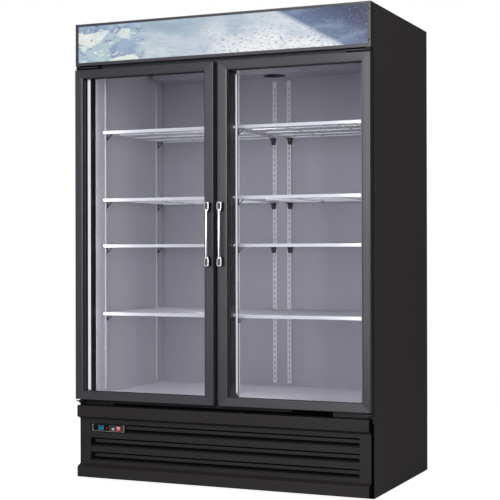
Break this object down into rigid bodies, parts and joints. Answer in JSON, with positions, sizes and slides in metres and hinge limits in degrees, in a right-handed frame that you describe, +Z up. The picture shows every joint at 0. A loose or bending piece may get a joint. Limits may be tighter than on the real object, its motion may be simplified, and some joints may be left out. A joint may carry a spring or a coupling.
{
  "type": "glass door merchandiser",
  "caption": "Upright display refrigerator with hinged glass doors, wire shelves, a lit header sign and a louvred grille over the machine compartment.",
  "frame": {"origin": "on the floor under the middle of the whole object's bounding box", "axes": "+X to the right seen from the front, +Y to the back, +Z up"},
  "size_m": [1.349, 0.848, 1.983],
  "materials": {
    "black_steel": "satin",
    "galvanised_steel": "satin",
    "charcoal_frame": "satin",
    "liner_white": "satin",
    "foam": "matte",
    "black_plastic": "matte",
    "gloss_black": "gloss",
    "sign_graphic": "gloss",
    "reflector_white": "satin",
    "lamp_tube": "gloss",
    "lamp_housing": "satin",
    "led_diffuser": "gloss",
    "zinc_steel": "satin",
    "shelf_white": "gloss",
    "aluminium": "satin",
    "copper": "polished",
    "hose": "matte",
    "display_black": "gloss",
    "red_switch": "gloss",
    "grey_switch": "gloss",
    "compressor_black": "satin",
    "door_glass": "gloss",
    "gasket": "matte",
    "chrome": "polished",
    "foot_rubber": "matte"
  },
  "bodies": {
    "cabinet": {"base_frame": "galvanised_steel", "breaker_strips": "gloss_black", "case_screws": "black_steel", "compressor": "compressor_black", "condenser_coil": "aluminium", "condenser_fan_motor": "compressor_black", "condenser_shroud": "black_steel", "controller_display": "display_black", "controller_housing": "black_plastic", "drain_tube": "hose", "drip_pan": "galvanised_steel", "evaporator_coil": "aluminium", "evaporator_cover": "liner_white", "evaporator_fan_frame": "black_plastic", "evaporator_fan_guard": "black_plastic", "foam_insulation": "foam", "front_frame": "black_plastic", "front_grille": "black_plastic", "header_end_caps": "charcoal_frame", "header_frame": "charcoal_frame", "header_lamp": "lamp_tube", "header_light_box": "reflector_white", "hinge_brackets": "zinc_steel", "led_lamp_diffusers": "led_diffuser", "led_lamp_housings": "lamp_housing", "liner_ceiling_and_floor": "liner_white", "liner_walls": "liner_white", "mullion": "gloss_black", "power_inlet": "black_plastic", "rear_panel": "galvanised_steel", "rear_vent_panel": "galvanised_steel", "refrigerant_pipes": "copper", "shelf_clips": "black_plastic", "shelf_pilasters": "zinc_steel", "side_panel_left": "black_steel", "side_panel_right": "black_steel", "sign_panel": "sign_graphic", "top_panel": "galvanised_steel", "wire_shelves": "shelf_white"},
    "evaporator_fan": {"evaporator_fan": "black_plastic"},
    "condenser_fan": {"condenser_fan": "aluminium"},
    "power_switch": {"power_switch": "red_switch"},
    "light_switch": {"light_switch": "grey_switch"},
    "set_button": {"set_button": "grey_switch"},
    "foot_front_left": {"foot_front_left": "foot_rubber"},
    "foot_front_right": {"foot_front_right": "foot_rubber"},
    "foot_rear_left": {"foot_rear_left": "foot_rubber"},
    "foot_rear_right": {"foot_rear_right": "foot_rubber"},
    "left_door": {"left_door_frame": "charcoal_frame", "left_door_gasket": "gasket", "left_door_glass": "door_glass", "left_door_handle": "chrome", "left_door_hinge_bushes": "black_plastic", "left_door_spacer": "black_plastic"},
    "right_door": {"right_door_frame": "charcoal_frame", "right_door_gasket": "gasket", "right_door_glass": "door_glass", "right_door_handle": "chrome", "right_door_hinge_bushes": "black_plastic", "right_door_spacer": "black_plastic"}
  },
  "joints": [
    {"name": "left_door_hinge", "type": "hinge", "parent": "cabinet", "child": "left_door", "pos_m": [-0.655, -0.372, 1.0675], "axis": [0, 0, -1], "range_deg": [0, 110], "stiffness_Nm_per_rad": 1.5, "springref_deg": -8.59},
    {"name": "right_door_hinge", "type": "hinge", "parent": "cabinet", "child": "right_door", "pos_m": [0.655, -0.372, 1.0675], "axis": [0, 0, 1], "range_deg": [0, 110], "stiffness_Nm_per_rad": 1.5, "springref_deg": -8.59},
    {"name": "evaporator_fan_spin", "type": "hinge", "parent": "cabinet", "child": "evaporator_fan", "pos_m": [0, 0.254, 1.819], "axis": [0, 0, 1], "continuous": true},
    {"name": "condenser_fan_spin", "type": "hinge", "parent": "cabinet", "child": "condenser_fan", "pos_m": [-0.27, -0.18, 0.18], "axis": [0, 1, 0], "continuous": true},
    {"name": "power_switch_rock", "type": "hinge", "parent": "cabinet", "child": "power_switch", "pos_m": [-0.4765, -0.352, 0.229], "axis": [1, 0, 0], "range_deg": [0, 12]},
    {"name": "light_switch_rock", "type": "hinge", "parent": "cabinet", "child": "light_switch", "pos_m": [-0.503, -0.352, 0.227], "axis": [1, 0, 0], "range_deg": [0, 12]},
    {"name": "set_button_press", "type": "slide", "parent": "cabinet", "child": "set_button", "axis": [0, 1, 0], "range_m": [0, 0.001], "stiffness_N_per_m": 400},
    {"name": "foot_front_left_screw", "type": "hinge", "parent": "cabinet", "child": "foot_front_left", "pos_m": [-0.6, -0.266, 0.008], "axis": [0, 0, 1], "continuous": true},
    {"name": "foot_front_right_screw", "type": "hinge", "parent": "cabinet", "child": "foot_front_right", "pos_m": [0.6, -0.266, 0.008], "axis": [0, 0, 1], "continuous": true},
    {"name": "foot_rear_left_screw", "type": "hinge", "parent": "cabinet", "child": "foot_rear_left", "pos_m": [-0.6, 0.354, 0.008], "axis": [0, 0, 1], "continuous": true},
    {"name": "foot_rear_right_screw", "type": "hinge", "parent": "cabinet", "child": "foot_rear_right", "pos_m": [0.6, 0.354, 0.008], "axis": [0, 0, 1], "continuous": true}
  ]
}
